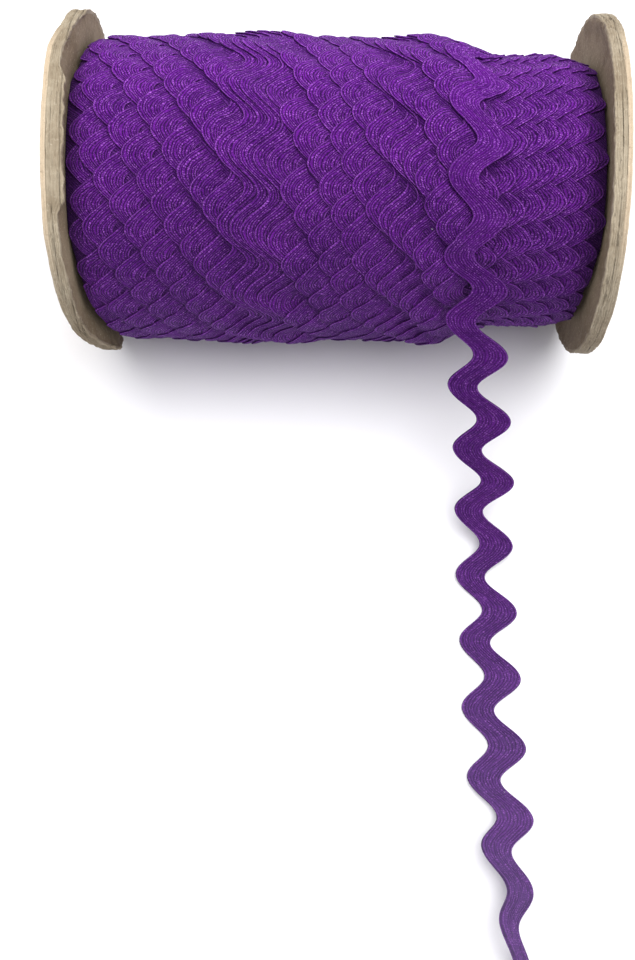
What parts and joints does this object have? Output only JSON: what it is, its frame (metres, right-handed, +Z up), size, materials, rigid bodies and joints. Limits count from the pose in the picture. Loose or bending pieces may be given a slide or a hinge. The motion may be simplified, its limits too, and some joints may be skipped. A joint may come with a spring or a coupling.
{
  "type": "roll of ric rac",
  "caption": "Spool of wavy braided trimming lying on its side, with its loose end drawn off over the front and lying on the surface.",
  "frame": {"origin": "on the surface that the spool and its loose end lie on, midway between the back of the spool and the cut end, under the middle of the spool's length", "axes": "+X along the spool's axis towards the end where the loose end comes off, +Y from the loose end to the back of the spool, +Z up"},
  "size_m": [0.1144, 0.1984, 0.0724],
  "materials": {
    "board": "bare pressed board, its plies and cracks showing on the rim",
    "ric_rac": "purple braid of fine parallel yarns with a soft sheen"
  },
  "bodies": {
    "root": {"flange_left": "board", "flange_right": "board", "wound_roll": "ric_rac", "loose_end": "ric_rac"}
  },
  "joints": []
}
